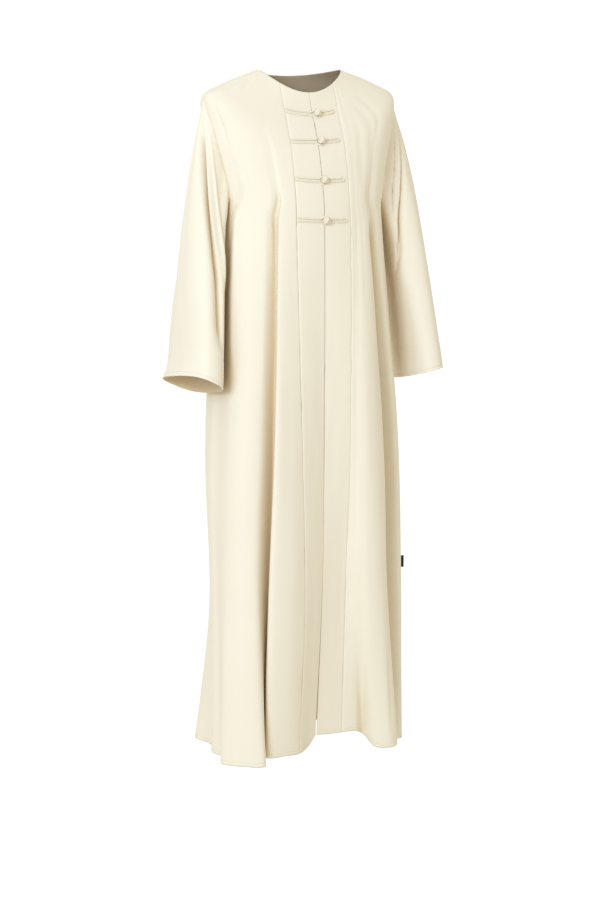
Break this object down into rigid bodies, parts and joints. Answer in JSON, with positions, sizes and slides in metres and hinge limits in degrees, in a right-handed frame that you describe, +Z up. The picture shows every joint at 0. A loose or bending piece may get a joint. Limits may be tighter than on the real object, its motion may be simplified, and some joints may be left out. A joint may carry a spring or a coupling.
{
  "type": "abaya cloak",
  "caption": "Long open-front abaya cloak in cream cloth, worn form: hanging sleeves, front bands closed at the chest by knotted cord frogs, draped hem.",
  "frame": {"origin": "on the wearer's body axis, level with the side neck points, between the two shoulder lines the cloak hangs from", "axes": "+X to the wearer's left, -Y to the front, +Z up towards the head"},
  "size_m": [0.5755, 0.3312, 1.3921],
  "materials": {
    "crepe": "matt, finely grained cream crepe",
    "cord": "matt cream rolled cord",
    "tab": "black woven tape, bare"
  },
  "bodies": {
    "root": {"back": "crepe", "band_left": "crepe", "band_right": "crepe", "front_left": "crepe", "front_right": "crepe", "sleeve_left": "crepe", "sleeve_right": "crepe", "frog_1_loop": "cord", "frog_1_tail": "cord", "frog_1_knot": "cord", "frog_2_loop": "cord", "frog_2_tail": "cord", "frog_2_knot": "cord", "frog_3_loop": "cord", "frog_3_tail": "cord", "frog_3_knot": "cord", "frog_4_loop": "cord", "frog_4_tail": "cord", "frog_4_knot": "cord", "seam_tab": "tab"}
  },
  "joints": []
}
